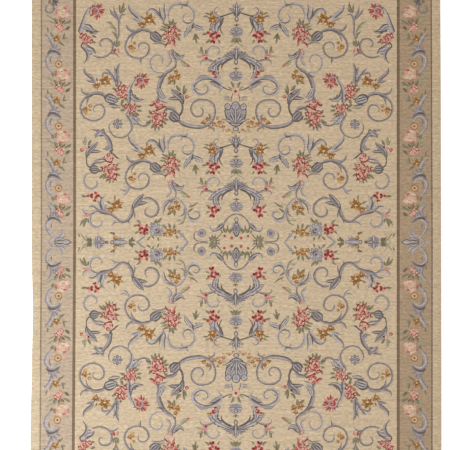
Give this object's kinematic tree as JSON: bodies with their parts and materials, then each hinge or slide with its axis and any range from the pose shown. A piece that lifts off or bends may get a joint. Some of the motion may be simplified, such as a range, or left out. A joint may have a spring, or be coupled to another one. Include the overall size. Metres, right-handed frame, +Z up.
{
  "type": "aubusson rug",
  "caption": "Flat tapestry-woven floor rug with a scroll and rose field, a flowered side border and a plain outer band, lying flat.",
  "frame": {"origin": "middle of the underside, on the floor", "axes": "+X across the rug, +Y along its length, +Z up out of the face of the cloth"},
  "size_m": [1.7074, 2.4, 0.004],
  "materials": {
    "woven_cloth": "matt flat-woven wool and cotton, cream ground with grey-blue, rose, ochre and green yarns"
  },
  "bodies": {
    "root": {"rug_cloth": "woven_cloth"}
  },
  "joints": []
}
